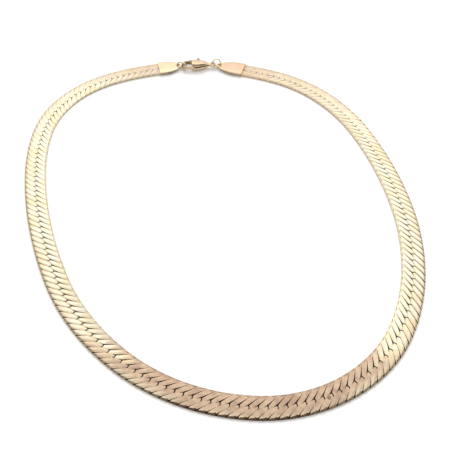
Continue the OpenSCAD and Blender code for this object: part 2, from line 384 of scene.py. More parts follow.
@dataclass(frozen=True)
class GrimeAndShadeFinish:
    """Dull dark metal, partly grime and partly painted shade, between the links and along the
    chain's edges; on the caps' sides and in the clasp's grooves it is painted shade.
    """

    name: str
    dark: Colour = (0.050, 0.027, 0.016)
    light: Colour = (0.52, 0.42, 0.27)
    metallic: float = 0.7
    rough: float = 0.5
    onset: float = 1.0
    crumb_scale: float = 1800.0
    crumb_dark: float = 0.4
    crumb_rough: float = 0.25
    crumb_mm: float = 0.02
    smear_scale: float = 300.0
    smear_span: Flat = (0.3, 0.7)
    smear_share: float = 0.6
    smear_drift: float = 0.25
    by_place: bool = True

    def material(self) -> Material:
        """Makes the material.

        Returns:
            A new material.
        """
        made, nodes = blank_material(self.name)
        crumbs = nodes.noise(nodes.place(), self.crumb_scale, 3.0, 0.7)
        smears = nodes.noise(nodes.place(), self.smear_scale, 2.0, 0.5).above(*self.smear_span)
        grime = smears * self.smear_share
        # By place, the share is read from the mesh: partly grime, and partly painted shade in the
        # slits and along the edges.
        if self.by_place:
            grime = nodes.attribute("grime") ** self.onset
        dirt = (grime + self.smear_drift * (smears - 0.5)).clamped()
        colour = nodes.mix(dirt, self.light, self.dark)
        colour = nodes.mix(self.crumb_dark * crumbs, colour, self.dark)
        nodes.surface(Base_Color=colour, Metallic=self.metallic,
                      Roughness=self.rough + self.crumb_rough * crumbs,
                      Normal=nodes.bump(crumbs, self.crumb_mm, 0.6))
        return made


class Shape:
    """Mesh helpers that the sub-assemblies share. Each works on a bmesh in millimetres."""

    @staticmethod
    def plate(outline: Sequence[Flat], low: float, high: float) -> BMesh:
        """Extrudes an outline into a plate.

        Args:
            outline: Corners in order.
            low: Height of the underside.
            high: Height of the top.

        Returns:
            A new closed bmesh.
        """
        bm = bmesh.new()
        base = bm.faces.new([bm.verts.new((x, y, low)) for x, y in outline])
        grown = bmesh.ops.extrude_face_region(bm, geom=[base], use_keep_orig=True)
        raised = [item for item in grown["geom"] if isinstance(item, BMVert)]
        bmesh.ops.translate(bm, verts=raised, vec=(0, 0, high - low))
        bmesh.ops.recalc_face_normals(bm, faces=bm.faces)
        return bm

    @staticmethod
    def rod(frame: Matrix, radius: float, length: float) -> BMesh:
        """Models a round rod or disc.

        Args:
            frame: Its middle, with its axis along z.
            radius: Its radius.
            length: Its length along the axis.

        Returns:
            A new closed bmesh.
        """
        bm = bmesh.new()
        bmesh.ops.create_cone(bm, cap_ends=True, segments=40, radius1=radius, radius2=radius,
                              depth=length, matrix=frame)
        return bm

    @staticmethod
    def hoop(frame: Matrix, middle: Vector, side: Vector, up: Vector, count: int) -> list[Vector]:
        """Returns the points of a wire's round section, from its middle and two radii."""
        return [frame @ (middle + math.cos(a) * side + math.sin(a) * up)
                for a in (math.tau * step / count for step in range(count))]

    @staticmethod
    def loft(rings: Sequence[Sequence[Vector]], closed: bool = False) -> BMesh:
        """Skins a row of rings that have the same number of points.

        Args:
            rings: The rings, each in order round the shape.
            closed: Whether the last ring joins the first. Otherwise both ends are filled.

        Returns:
            A new closed bmesh.
        """
        bm = bmesh.new()
        verts = [bm.verts.new(point) for point in rings[0]]
        first = [bm.edges.new((a, b)) for a, b in zip(verts, verts[1:] + verts[:1])]
        edges = first
        for ring in rings[1:]:
            numbers = {tuple(vert.co): number for number, vert in enumerate(verts)}
            grown = bmesh.ops.extrude_edge_only(bm, edges=edges)["geom"]
            verts = [item for item in grown if isinstance(item, BMVert)]
            points = [ring[numbers[tuple(vert.co)]] for vert in verts]
            for vert, point in zip(verts, points):
                vert.co = point
            ends = set(verts)
            edges = [item for item in grown
                     if isinstance(item, BMEdge) and ends.issuperset(item.verts)]
        if closed:
            bmesh.ops.bridge_loops(bm, edges=first + edges)
        else:
            bmesh.ops.holes_fill(bm, edges=first + edges, sides=0)
        bmesh.ops.recalc_face_normals(bm, faces=bm.faces)
        return bm

    @staticmethod
    def append(bm: BMesh, mesh: bpy.types.Mesh) -> Sequence[BMVert]:
        """Adds a mesh to a bmesh.

        Args:
            bm: The bmesh.
            mesh: The mesh, which stays as it is.

        Returns:
            The new vertices, in the mesh's order.
        """
        count = len(bm.verts)
        bm.from_mesh(mesh)
        bm.verts.ensure_lookup_table()
        return bm.verts[count:]

    @staticmethod
    def pour(bm: BMesh, part: BMesh) -> Sequence[BMVert]:
        """Adds a bmesh to another.

        Args:
            bm: The bmesh that grows.
            part: The bmesh that is added. It is freed.

        Returns:
            The new vertices.
        """
        passed = bpy.data.meshes.new("passed")
        part.to_mesh(passed)
        part.free()
        verts = Shape.append(bm, passed)
        bpy.data.meshes.remove(passed)
        return verts

    @staticmethod
    def finish(bm: BMesh, name: str, materials: Sequence[Material],
               smooth_angle: float = 35.0) -> Object:
        """Turns a bmesh in millimetres into an object in metres, and frees it.

        Args:
            bm: The mesh.
            name: Name of the object.
            materials: Its materials, in slot order.
            smooth_angle: Edges sharper than this many degrees stay sharp.

        Returns:
            The new object, at the origin.
        """
        bmesh.ops.scale(bm, vec=(MM, MM, MM), verts=bm.verts)
        mesh = bpy.data.meshes.new(name)
        bm.to_mesh(mesh)
        bm.free()
        Shape.smooth(mesh, smooth_angle)
        for material in materials:
            mesh.materials.append(material)
        return show(bpy.data.objects.new(name, mesh))

    @staticmethod
    def smooth(mesh: bpy.types.Mesh, angle: float) -> None:
        """Shades a mesh smooth, apart from edges that are sharper than an angle in degrees."""
        mesh.shade_smooth()
        mesh.set_sharp_from_angle(angle=math.radians(angle))

    @staticmethod
    def cut(target: Object, tool: BMesh, operation: str = "DIFFERENCE") -> None:
        """Cuts a closed shape out of an object.

        Args:
            target: The object.
            tool: The shape, in millimetres. It is freed.
            operation: "DIFFERENCE" to cut it out, or "UNION" to weld it on.
        """
        cutter = Shape.finish(tool, target.name + "_cut", [])
        change = target.modifiers.new("cut", "BOOLEAN")
        change.operation = operation
        change.solver = "EXACT"
        change.object = cutter
        Shape.bake(target)
        bpy.data.objects.remove(cutter)

    @staticmethod
    def weld(target: Object, tool: BMesh) -> None:
        """Joins a closed shape, given in millimetres, to an object as one solid."""
        Shape.cut(target, tool, "UNION")

    @staticmethod
    def bake(target: Object) -> None:
        """Applies an object's modifiers to its mesh.

        Args:
            target: The object.
        """
        graph = bpy.context.evaluated_depsgraph_get()
        made = bpy.data.meshes.new_from_object(target.evaluated_get(graph))
        target.modifiers.clear()
        target.data = made

    @staticmethod
    def soften(target: Object, width: float, segments: int = 2) -> None:
        """Rounds an object's sharp edges.

        Args:
            target: The object.
            width: Width of the rounding, in millimetres.
            segments: Number of strips across it.
        """
        change = target.modifiers.new("soften", "BEVEL")
        change.width = width * MM
        change.segments = segments
        change.limit_method = "ANGLE"
        change.angle_limit = math.radians(40)
        Shape.bake(target)
        Shape.smooth(target.data, 50)


def rounded_section(half_w: float, low: float, high: float, corner: float,
                    count: int = 32) -> list[Flat]:
    """Works out a section that is flat in the middle and round at its sides.

    Args:
        half_w: Half its width.
        low: Its lowest height.
        high: Its greatest height.
        corner: 2 for an ellipse, and more for a fuller section.
        count: Number of points.

    Returns:
        Points (across, height) round the section.
    """
    middle, half_t = (low + high) / 2, (high - low) / 2
    points = []
    for step in range(count):
        angle = math.tau * (step + 0.5) / count
        side, up = math.cos(angle), math.sin(angle)
        points.append((math.copysign(abs(side) ** (2 / corner), side) * half_w,
                       middle + math.copysign(abs(up) ** (2 / corner), up) * half_t))
    return points


@dataclass
class Course:
    """The middle line of the chain: arcs that all turn right, clockwise seen from above."""

    arcs: tuple[Flat, ...] = (
        (10.9, 104.97), (27.7, 53.52), (23.2, 72.05), (41.7, 156.38), (27.5, 105.53),
        (23.3, 77.46), (53, 46.09), (39.7, 63.42), (36.6, 85.04), (52.5, 185.07), (21.6, 99.04),
        (44.2, 41.58), (19.1, 80.32))
    start: Flat = (12.19, 75.75)
    heading: float = -16.2
    stations: list[tuple[Vector, float, float]] = field(init=False)

    def __post_init__(self) -> None:
        """Works out where each arc starts."""
        point, heading, length = Vector(self.start), math.radians(self.heading), 0.0
        self.stations = []
        for arc_length, radius in self.arcs:
            self.stations.append((point, heading, length))
            leaving = heading - arc_length / radius
            point = point + radius * (self.outward(leaving) - self.outward(heading))
            heading, length = leaving, length + arc_length
        self.end, self.end_heading, self.length = point, heading, length

    @staticmethod
    def ahead(heading: float) -> Vector:
        """Returns the direction of a heading."""
        return Vector((math.cos(heading), math.sin(heading)))

    @staticmethod
    def outward(heading: float) -> Vector:
        """Returns the direction out of the loop at a heading."""
        return Vector((-math.sin(heading), math.cos(heading)))

    def place(self, along: float, across: float) -> Vector:
        """Returns the point of the surface for a place on the chain.

        Args:
            along: Way round the course.
            across: Way out from the middle line.

        Returns:
            The point, in the plane of the surface.
        """
        number = 0
        while number + 1 < len(self.arcs) and along >= self.stations[number + 1][2]:
            number += 1
        point, heading, begun = self.stations[number]
        radius = self.arcs[number][1]
        here = heading - (along - begun) / radius
        return point + radius * (self.outward(here) - self.outward(heading)) \
            + across * self.outward(here)


def held(value: float) -> float:
    """Returns a value held between 0 and 1."""
    return min(1.0, max(0.0, value))


def eased(low: float, high: float, value: float) -> float:
    """Returns 0 up to low, 1 from high on, and a smooth rise between them."""
    share = held((value - low) / (high - low))
    return share * share * (3 - 2 * share)


@dataclass(frozen=True)
class Zone:
    """How the chain looks at one place along its course.

    The opening of the slits, the rose tones, the crown and the grime and shade are shares of the
    most that a link shows. The width is a share of the chain's. The rose tones are partly the
    metal's tone
    and partly painted light and shade: a low rose share paints highlights on facets and bar tips,
    and the full rose at the front paints it darker. The grime and shade share is partly wear and
    grime and partly painted shade in the slits and along the edges.
    """

    along: float
    inner_open: float
    outer_open: float
    inner_rose: float
    tip_rose: float
    outer_rose: float
    facet_rose: float
    crown: float
    grime: float
    width: float

    def towards(self, other: "Zone", along: float) -> "Zone":
        """Returns the look at a place between this one and a later one."""
        share = held((along - self.along) / (other.along - self.along))
        return Zone(*(low + (high - low) * share
                      for low, high in zip(astuple(self), astuple(other))))


ZONES = (
    Zone(0, 0.05, 0.05, 0.80, 0.80, 0.80, 0.80, 0.5, 0.20, 1.000),
    Zone(16, 0.05, 0.05, 0.50, 0.50, 0.50, 0.60, 0.5, 0.25, 1.000),
    Zone(45, 0.10, 0.10, 0.35, 0.30, 0.35, 0.50, 0.7, 0.25, 1.000),
    Zone(70, 0.35, 0.40, 0.10, 0.00, 0.05, 0.35, 1.0, 0.35, 0.995),
    Zone(100, 0.60, 0.70, 0.10, 0.00, 0.05, 0.35, 1.0, 0.45, 0.990),
    Zone(140, 0.85, 0.90, 0.10, 0.00, 0.10, 0.35, 1.0, 0.65, 0.975),
    Zone(158, 0.90, 0.70, 0.15, 0.00, 0.15, 0.40, 0.7, 0.80, 0.965),
    Zone(164, 0.95, 0.40, 0.35, 0.05, 0.20, 0.40, 0.5, 0.88, 0.957),
    Zone(168, 1.00, 0.15, 0.90, 0.50, 0.50, 0.40, 0.4, 0.90, 0.952),
    Zone(171, 1.00, 0.04, 0.95, 0.90, 0.90, 0.10, 0.3, 0.92, 0.948),
    Zone(181, 1.05, 0.00, 1.00, 1.00, 1.00, 0.00, 0.2, 0.94, 0.932),
    Zone(185, 1.10, 0.00, 1.00, 1.00, 1.00, 0.75, 0.15, 0.95, 0.925),
    Zone(200, 1.10, 0.00, 1.00, 1.00, 1.00, 0.75, 0.15, 1.00, 0.925),
    Zone(226, 1.10, 0.00, 1.00, 1.00, 1.00, 0.75, 0.15, 1.00, 0.925),
    Zone(231, 1.08, 0.00, 1.00, 1.00, 1.00, 0.20, 0.2, 0.97, 0.928),
    Zone(241, 1.00, 0.05, 1.00, 0.90, 1.00, 0.00, 0.35, 0.93, 0.935),
    Zone(245, 0.95, 0.10, 0.95, 0.10, 1.00, 0.10, 0.45, 0.91, 0.938),
    Zone(252, 0.85, 0.22, 0.80, 0.00, 0.85, 0.60, 0.7, 0.88, 0.945),
    Zone(258, 0.80, 0.28, 0.35, 0.00, 0.60, 0.60, 1.0, 0.86, 0.955),
    Zone(264, 0.80, 0.30, 0.12, 0.00, 0.25, 0.55, 1.2, 0.84, 0.960),
    Zone(290, 0.70, 0.35, 0.10, 0.00, 0.10, 0.50, 1.3, 0.65, 0.970),
    Zone(330, 0.60, 0.30, 0.05, 0.00, 0.05, 0.40, 1.2, 0.45, 0.980),
    Zone(385, 0.55, 0.20, 0.05, 0.05, 0.05, 0.35, 0.8, 0.30, 1.000),
    Zone(421, 0.40, 0.15, 0.70, 0.70, 0.70, 0.70, 0.5, 0.20, 1.000),
)


class BarPlace(Enum):
    """Where a bar lies in its link."""

    INNER = 0
    OUTER = 1
    LOWER = 2


class ChainSlot(Enum):
    """The chain's metals, in the order of its material slots. The slit and edge metals are partly
    grime and partly painted shade.
    """

    METAL = 0
    SLIT = 1
    EDGE = 2


class ClaspSlot(Enum):
    """The clasp body's metals, in the order of its material slots. The tip and the grooves are
    painted shade.
    """

    METAL = 0
    TIP = 1
    GROOVE = 2


@dataclass
class Chain:
    """The herringbone links and the soldered stretches at both ends.

    A link is drawn straight, with points as (along, across, height). The outer half of the chain
    is drawn as the inner one is, and then given half a turn.
    """

    course: Course
    width: float = 7.4
    thickness: float = 0.9
    layer_gap: float = 0.12
    link_count: int = 161
    right_solder: float = 7.6
    left_solder: float = 6.0
    slit: float = 0.2
    lap: float = 0.002
    run_share: float = 1.31
    step_back_share: float = 0.12
    tip_reach: float = 0.44
    heel: float = 0.18
    toe: float = 0.16
    full_toe: float = -0.05
    arm_share: float = 0.45
    arm_rise: float = 0.02
    wrap_inset: float = 0.03
    wrap_depth: float = 0.5
    near_cut: float = 1.0
    fold_half_w: float = 0.06
    outer_slope_w: float = 1.05
    outer_slope_drop: float = 0.14
    brink_w: float = 0.48
    brink_drop: float = 0.22
    notch_w: float = 0.52
    notch_reach: float = 1.6
    inner_slope_w: float = 0.55
    inner_slope_drop: float = 0.20
    inner_tip: float = 1.5
    inner_tip_cut: float = 0.1
    inner_close: float = 0.8
    inner_close_span: Flat = (1.3, 0.2)
    mark_span: Flat = (0.35, 0.5)
    inner_mark: Flat = (0.9, 0.18)
    outer_mark: Flat = (0.35, 0.16)
    outer_slope_least: float = 0.25
    crown_w: float = 0.42
    crown_drop: float = 0.10
    crown_reach: float = 0.2
    crown_least: float = 0.2
    crown_gain: float = 2.0
    tuck: float = 0.06
    tuck_height: float = 0.1
    facet_w: float = 1.1
    field_from: float = 0.8
    link_tint: float = 0.4
    field_tint: float = 0.3
    tilt: float = 0.006
    core_inset: float = 0.06
    core_depth: float = 0.3
    edge_band: float = 0.1
    steep_normal: float = 0.35
    sharp_angle: float = 10.0
    seed: int = 11

    def __post_init__(self) -> None:
        """Works out the pattern from the sizes."""
        self.half_w = self.width / 2
        self.pitch = (self.course.length - self.right_solder - self.left_solder) / self.link_count
        self.run = self.run_share * self.pitch
        self.step_back = self.step_back_share * self.pitch
        self.edge_shift = 2 * self.run - self.step_back - 2 * self.pitch
        self.slope = self.run / (self.half_w - self.tip_reach)
        self.bar_t = (self.thickness - self.layer_gap) / 2
        self.chance = random.Random(self.seed)

    def bar_outline(self, bar: BarPlace = BarPlace.LOWER) -> list[Flat]:
        """Draws the outline of a bar, with its tips worn as they are on it.

        Args:
            bar: Where the bar lies.

        Returns:
            Corners in order, as (along, across).
        """
        half_slit = self.slit / 2
        heel = self.heel if bar is BarPlace.INNER else 0.0
        toe = self.toe if bar is BarPlace.OUTER else self.full_toe
        start, end = self.run + half_slit, self.pitch + self.run - self.step_back - half_slit
        outline = [
            (half_slit, -self.half_w),
            (start, -self.tip_reach - heel),
            (end, self.tip_reach - toe),
            (self.pitch + self.run - half_slit, -self.tip_reach),
            (self.pitch - half_slit, -self.half_w),
        ]
        if bar is BarPlace.INNER:
            share = self.arm_share
            meets = self.tip_reach * (2 * share - 1) + self.toe * (1 - share) + self.arm_rise
            outline.insert(2, (start + (end - start) * share, meets))
        return outline

    def wrap_outline(self) -> list[Flat]:
        """Draws what joins an upper bar to a lower one at the inner edge.

        Returns:
            Corners in order, as (along, across).
        """
        low = self.edge_shift + self.slit / 2 + self.wrap_inset
        high = self.pitch - self.slit / 2 - self.wrap_inset
        gain = (self.wrap_depth - self.wrap_inset) * self.slope
        inside = self.wrap_depth - self.half_w
        return [(low, -self.half_w), (high, -self.half_w), (high + gain, inside),
                (low - gain, inside)]

    def upper_bar(self, bar: BarPlace) -> BMesh:
        """Models an upper bar with a crowned top, as an inner one.

        Args:
            bar: Where the bar will lie.

        Returns:
            A new closed bmesh.
        """
        top = self.thickness
        bm = Shape.plate(self.bar_outline(bar), top - self.bar_t, top)
        if bar is BarPlace.OUTER:
            cuts = (self.half_w - self.near_cut, self.outer_slope_w + self.fold_half_w,
                    self.outer_slope_w - self.fold_half_w, self.brink_w)
        else:
            cuts = (self.half_w - self.inner_tip - self.inner_tip_cut, self.inner_slope_w)
        for from_edge in cuts:
            bmesh.ops.bisect_plane(bm, geom=[*bm.verts, *bm.edges, *bm.faces],
                                   plane_co=(0, from_edge - self.half_w, 0), plane_no=(0, 1, 0))
        upper = [face for face in bm.faces if face.normal.z > 0.9]
        bmesh.ops.inset_region(bm, faces=upper, thickness=self.crown_w, use_even_offset=True)
        rim = [edge for edge in bm.edges if min(vert.co.z for vert in edge.verts) > top - 0.01
               and min(face.normal.z for face in edge.link_faces) < 0.5]
        bmesh.ops.translate(bm, verts=list({vert for edge in rim for vert in edge.verts}),
                            vec=(0, 0, -self.crown_drop))
        return bm

    def link(self) -> bpy.types.Mesh:
        """Models a whole link, lying straight: two upper bars, two lower ones, two edge wraps.

        Returns:
            The link. Its vertices have the number of their bar's place in the layer "bar".
        """
        stay = Matrix.Identity(4)
        half_turn = placed((self.pitch + self.edge_shift, 0), heading=math.pi)
        under = Matrix.Diagonal((1, -1, 1, 1))
        bm = bmesh.new()
        bar_layer = bm.verts.layers.int.new("bar")
        lower = Shape.plate(self.bar_outline(), 0, self.bar_t)
        wrap = Shape.plate(self.wrap_outline(), self.bar_t, self.bar_t + self.layer_gap)
        parts = (
            (self.upper_bar(BarPlace.INNER), stay, BarPlace.INNER),
            (self.upper_bar(BarPlace.OUTER), half_turn, BarPlace.OUTER),
            (lower.copy(), under, BarPlace.LOWER),
            (lower, under @ half_turn, BarPlace.LOWER),
            (wrap.copy(), stay, BarPlace.LOWER),
            (wrap, half_turn, BarPlace.LOWER),
        )
        for part, way, bar_place in parts:
            bmesh.ops.transform(part, matrix=way, verts=part.verts)
            bmesh.ops.recalc_face_normals(part, faces=part.faces)
            for vert in Shape.pour(bm, part):
                vert[bar_layer] = bar_place.value
        for face in bm.faces:
            face.material_index = self._slot_of(face).value
        made = bpy.data.meshes.new("link")
        bm.to_mesh(made)
        bm.free()
        return made

    def _slot_of(self, face: BMFace) -> ChainSlot:
        """Chooses a face's metal.

        Args:
            face: A face of the straight link.

        Returns:
            Its material slot.
        """
        middle = face.calc_center_median()
        # Walls and the outer brink take the edge metal, and faces between the layers and steep ones
        # take the slit metal; both are partly grime and partly painted shade.
        wall = abs(face.normal.y) > 0.5 and abs(middle.y) > self.half_w - self.edge_band
        brink = face.normal.z > 0.3 and middle.y > self.half_w - self.brink_w
        if wall or brink:
            return ChainSlot.EDGE
        between = self.bar_t - self.edge_band < middle.z < self.bar_t + 2 * self.edge_band
        steep = abs(face.normal.z) < self.steep_normal
        return ChainSlot.SLIT if between or steep else ChainSlot.METAL

    @staticmethod
    def zone(along: float) -> Zone:
        """Works out how the chain looks at a place along its course.

        Args:
            along: Way round the course.

        Returns:
            The look there.
        """
        spans = zip(ZONES, ZONES[1:])
        near, far = next((span for span in spans if along <= span[1].along), ZONES[-2:])
        return near.towards(far, along)

    def _closing(self, out: float, outer: bool, zone: Zone, fill: float) -> float:
        """Works out how far a bar's side stands towards its neighbour.

        Args:
            out: Distance from the middle line.
            outer: Whether the bar is on the outer half of the chain.
            zone: The look of this stretch.
            fill: How much the slits are closed over the solder, 0 to 1.

        Returns:
            The distance, negative where the slit is wider than drawn.
        """
        shut = self.slit / 2 + self.lap
        mark_from, mark_till = self.mark_span
        mark_gain, mark_w = self.outer_mark if outer else self.inner_mark
        near_middle = 1 - eased(mark_from, mark_till + mark_gain * zone.grime, out)
        opened = zone.outer_open if outer else zone.inner_open
        opened += (1 - opened) * near_middle
        if not outer:
            far, near = self.inner_close_span
            opened *= 1 - self.inner_close * eased(self.half_w - far, self.half_w - near, out)
        gain = shut * (1 - opened) - mark_w * near_middle * zone.grime
        if outer:
            notch = max(0.0, 1 - (self.half_w - out) / self.notch_reach) * zone.grime
            gain += (-self.notch_w / 2 - gain) * notch
        return gain + (shut - gain) * fill

    def _laid(self, point: Vector, bar: BarPlace, zone: Zone, fill: float) -> Vector:
        """Works out where a point of the straight link goes, before the link is bent.

        Args:
            point: The point of the link, as (along, across, height).
            bar: Where its bar lies.
            zone: The look of this stretch.
            fill: How much the slits are closed over the solder, 0 to 1.

        Returns:
            The changed point.
        """
        along, across, height = point
        if bar is not BarPlace.LOWER:
            outer = bar is BarPlace.OUTER
            if outer:
                along, across = self.pitch + self.edge_shift - along, -across
            centre = self.pitch / 2 + (across + self.half_w) * self.slope
            share = (along - centre) / (self.pitch / 2 - self.slit / 2)
            along += max(-1.0, min(1.0, share)) * self._closing(abs(across), outer, zone, fill)
            if height > self.thickness - self.crown_reach:
                crown = zone.crown
                if outer:
                    crown *= min(1.0, self.crown_least + self.crown_gain * zone.outer_open)
                height = self.thickness - (self.thickness - height) * crown
                height -= self._edge_drop(across + self.half_w, outer, zone)
            if outer:
                along, across = self.pitch + self.edge_shift - along, -across
        if height < self.tuck_height:
            across *= 1 - self.tuck / self.half_w
        return Vector((along, across * zone.width, height))

    def _edge_drop(self, from_edge: float, outer: bool, zone: Zone) -> float:
        """Works out how far a bar's top slopes down towards the chain's edge.

        Args:
            from_edge: Distance from the edge.
            outer: Whether the bar is on the outer half of the chain.
            zone: The look of this stretch.

        Returns:
            How far the top lies below the middle's.
        """
        if not outer:
            return self.inner_slope_drop * max(0.0, 1 - from_edge / self.inner_slope_w)
        worn, least = zone.grime ** 2, self.outer_slope_least
        slope = min(1.0, (self.outer_slope_w - from_edge) / (self.outer_slope_w - self.brink_w))
        drop = self.outer_slope_drop * max(0.0, slope) * (least + (1 - least) * worn)
        return drop + self.brink_drop * max(0.0, 1 - from_edge / self.brink_w) * worn

    def _rose(self, across: float, bar: BarPlace, zone: Zone) -> float:
        """Works out the rose tone of a bar, which is partly its colour and partly painted light and
        shade.

        Args:
            across: Way out from the middle line.
            bar: Where the bar lies.
            zone: The look of this stretch.

        Returns:
            The share of the rose tone.
        """
        if bar is BarPlace.INNER:
            return zone.tip_rose if across > -self.inner_tip else zone.inner_rose
        return zone.facet_rose if across > self.half_w - self.facet_w else zone.outer_rose

    def stretch(self, name: str, numbers: Iterable[int], metals: Sequence[Material],
                fill: float = 0.0, core: Flat | None = None) -> Object:
        """Lays links along the course.

        Args:
            name: Name of the piece.
            numbers: The links' numbers, from the right cap.
            metals: The materials, in the order of ChainSlot.
            fill: How much the slits are closed over the solder, 0 to 1.
            core: Where a solid core under the surface starts and ends, if there is one.

        Returns:
            The piece.
        """
        template = self.link()
        bars = [BarPlace(item.value) for item in template.attributes["bar"].data]
        bm = bmesh.new()
        rose, grime, tint = (bm.verts.layers.float.new(key) for key in ("rose", "grime", "tint"))
        for number in numbers:
            start = self.right_solder + number * self.pitch
            zone = self.zone(start + self.pitch)
            tilt, own_tint = self.chance.gauss(0, self.tilt), self.chance.random()
            for vert, bar in zip(Shape.append(bm, template), bars):
                # The rose share is partly tone and partly painted light and shade, and the grime
                # and shade share darkens slits and edges, partly as painted shade.
                vert[rose] = self._rose(vert.co.y, bar, zone)
                vert[grime] = zone.grime
                along, across, height = self._laid(vert.co, bar, zone, fill)
                vert.co.xy = self.course.place(start + along, across)
                vert.co.z = max(0.0, height + tilt * across * height)
                # The tint is a random tone per link, plus painted golden shading in the outer
                # half's field.
                in_field = self.field_from < across < self.half_w - self.facet_w
                vert[tint] = self.link_tint * own_tint + in_field * self.field_tint * zone.grime
        bpy.data.meshes.remove(template)
        if core:
            Shape.pour(bm, self._core(*core))
        bm.verts.layers.int.remove(bm.verts.layers.int["bar"])
        return Shape.finish(bm, name, metals, self.sharp_angle)

    def _core(self, start: float, end: float) -> BMesh:
        """Models the solid stretch just under the surface of the soldered links.

        Args:
            start: Where it starts along the course.
            end: Where it ends.

        Returns:
            A new closed bmesh.
        """
        steps = 6
        out = self.half_w - self.core_inset
        places = [start + (end - start) * step / steps for step in range(steps + 1)]
        inner = [tuple(self.course.place(along, -out)) for along in places]
        outer = [tuple(self.course.place(along, out)) for along in places]
        return Shape.plate(inner + outer[::-1], self.core_inset, self.thickness - self.core_depth)


@dataclass
class EndCap:
    """A leaf-shaped cap plate with a hole at its lifted tip."""

    name: str
    at: Vector
    heading: float
    length: float
    width: float = 8.3
    thickness: float = 1.5
    tip_thickness: float = 0.6
    tip_r: float = 1.4
    hole_r: float = 0.85
    lift: float = 0.76
    straight: float = 0.28
    rise_w: float = 2.0
    fall_w: float = 3.0
    fullness: float = 5.0
    ring_points: int = 40
    ring_count: int = 26
    crowding: float = 1.6
    last_gap: float = 0.015
    rounding: float = 0.08
    top_normal: float = 0.6
    joint_normal: float = -0.7

    def half_width(self, x: float) -> float:
        """Works out half the plate's width.

        Args:
            x: Distance from the chain.

        Returns:
            Half the width there.
        """
        start, half = self.straight * self.length, self.width / 2
        bow = ((self.length - start) ** 2 + half ** 2 - self.tip_r ** 2) / (2 * (half - self.tip_r))
        touch = math.atan2(self.length - start, bow - half)
        if x <= start:
            return half
        if x <= start + bow * math.sin(touch):
            return half - bow + math.sqrt(bow ** 2 - (x - start) ** 2)
        return math.sqrt(max(0.0, self.tip_r ** 2 - (x - self.length) ** 2))

    def heights(self, x: float) -> Flat:
        """Works out where the plate lies.

        Args:
            x: Distance from the chain.

        Returns:
            Its lower and upper height there.
        """
        past = x - self.length + self.tip_r
        rise, fall = held(past / self.rise_w + 1), held(past / self.fall_w + 1)
        return (self.lift * rise,
                self.thickness + (self.lift + self.tip_thickness - self.thickness) * fall)

    def build(self, materials: Sequence[Material]) -> Object:
        """Models the plate.

        Args:
            materials: The metal of the top, and of the sides, which is painted darker as shade.

        Returns:
            The piece.
        """
        reach = self.length + self.tip_r
        places = [reach * (1 - (1 - step / self.ring_count) ** self.crowding)
                  for step in range(self.ring_count)]
        frame = placed(self.at, heading=self.heading)
        rings = []
        for x in (*places, reach - self.last_gap):
            low, high = self.heights(x)
            rings.append([frame @ Vector((x, y, z)) for y, z in rounded_section(
                self.half_width(x), low, high, self.fullness, self.ring_points)])
        made = Shape.finish(Shape.loft(rings), self.name, materials)
        hole = frame @ Matrix.Translation((self.length, 0, 0))
        Shape.cut(made, Shape.rod(hole, self.hole_r, 4 * self.thickness))
        Shape.soften(made, self.rounding)
        away = Course.ahead(self.heading)
        # The sides take the second metal: painted shade, darker than the top.
        for face in made.data.polygons:
            is_top = face.normal.z >= self.top_normal
            at_chain = face.normal.xy.dot(away) <= self.joint_normal
            face.material_index = int(not is_top and not at_chain)
        return made


@dataclass
class Ring:
    """A ring of round wire that stands on edge, leaning back a little."""

    name: str
    frame: Matrix
    end_r: float
    wire_r: float
    straight: float = 0.0
    lean: float = 0.0
    clearance: float = 0.02
    steps: int = 28
    wire_points: int = 16
    smooth_angle: float = 60.0

    def path(self) -> list[Vector]:
        """Works out the wire's path in the ring's own plane.

        Returns:
            Its points, flat along x and standing along z.
        """
        points = []
        for step in range(self.steps):
            angle = math.tau * (step + 0.5) / self.steps
            side = self.end_r * math.cos(angle)
            points.append(Vector((side - (self.straight if side < 0 else 0.0), 0,
                                  self.end_r * math.sin(angle))))
        return points

    def build(self, materials: Sequence[Material]) -> Object:
        """Models the ring.

        Args:
            materials: The metal.

        Returns:
            The piece.
        """
        lean = math.radians(self.lean)
        height = self.end_r * math.cos(lean) + self.wire_r + self.clearance
        frame = self.frame @ Matrix.Translation((0, 0, height)) @ Matrix.Rotation(-lean, 4, "X")
        side = Vector((0, 1, 0))
        points = self.path()
        rings = []
        for number, point in enumerate(points):
            ahead = (points[(number + 1) % len(points)] - points[number - 1]).normalized()
            rings.append(Shape.hoop(frame, point, self.wire_r * side,
                                    self.wire_r * ahead.cross(side), self.wire_points))
        return Shape.finish(Shape.loft(rings, closed=True), self.name, materials,
                            self.smooth_angle)


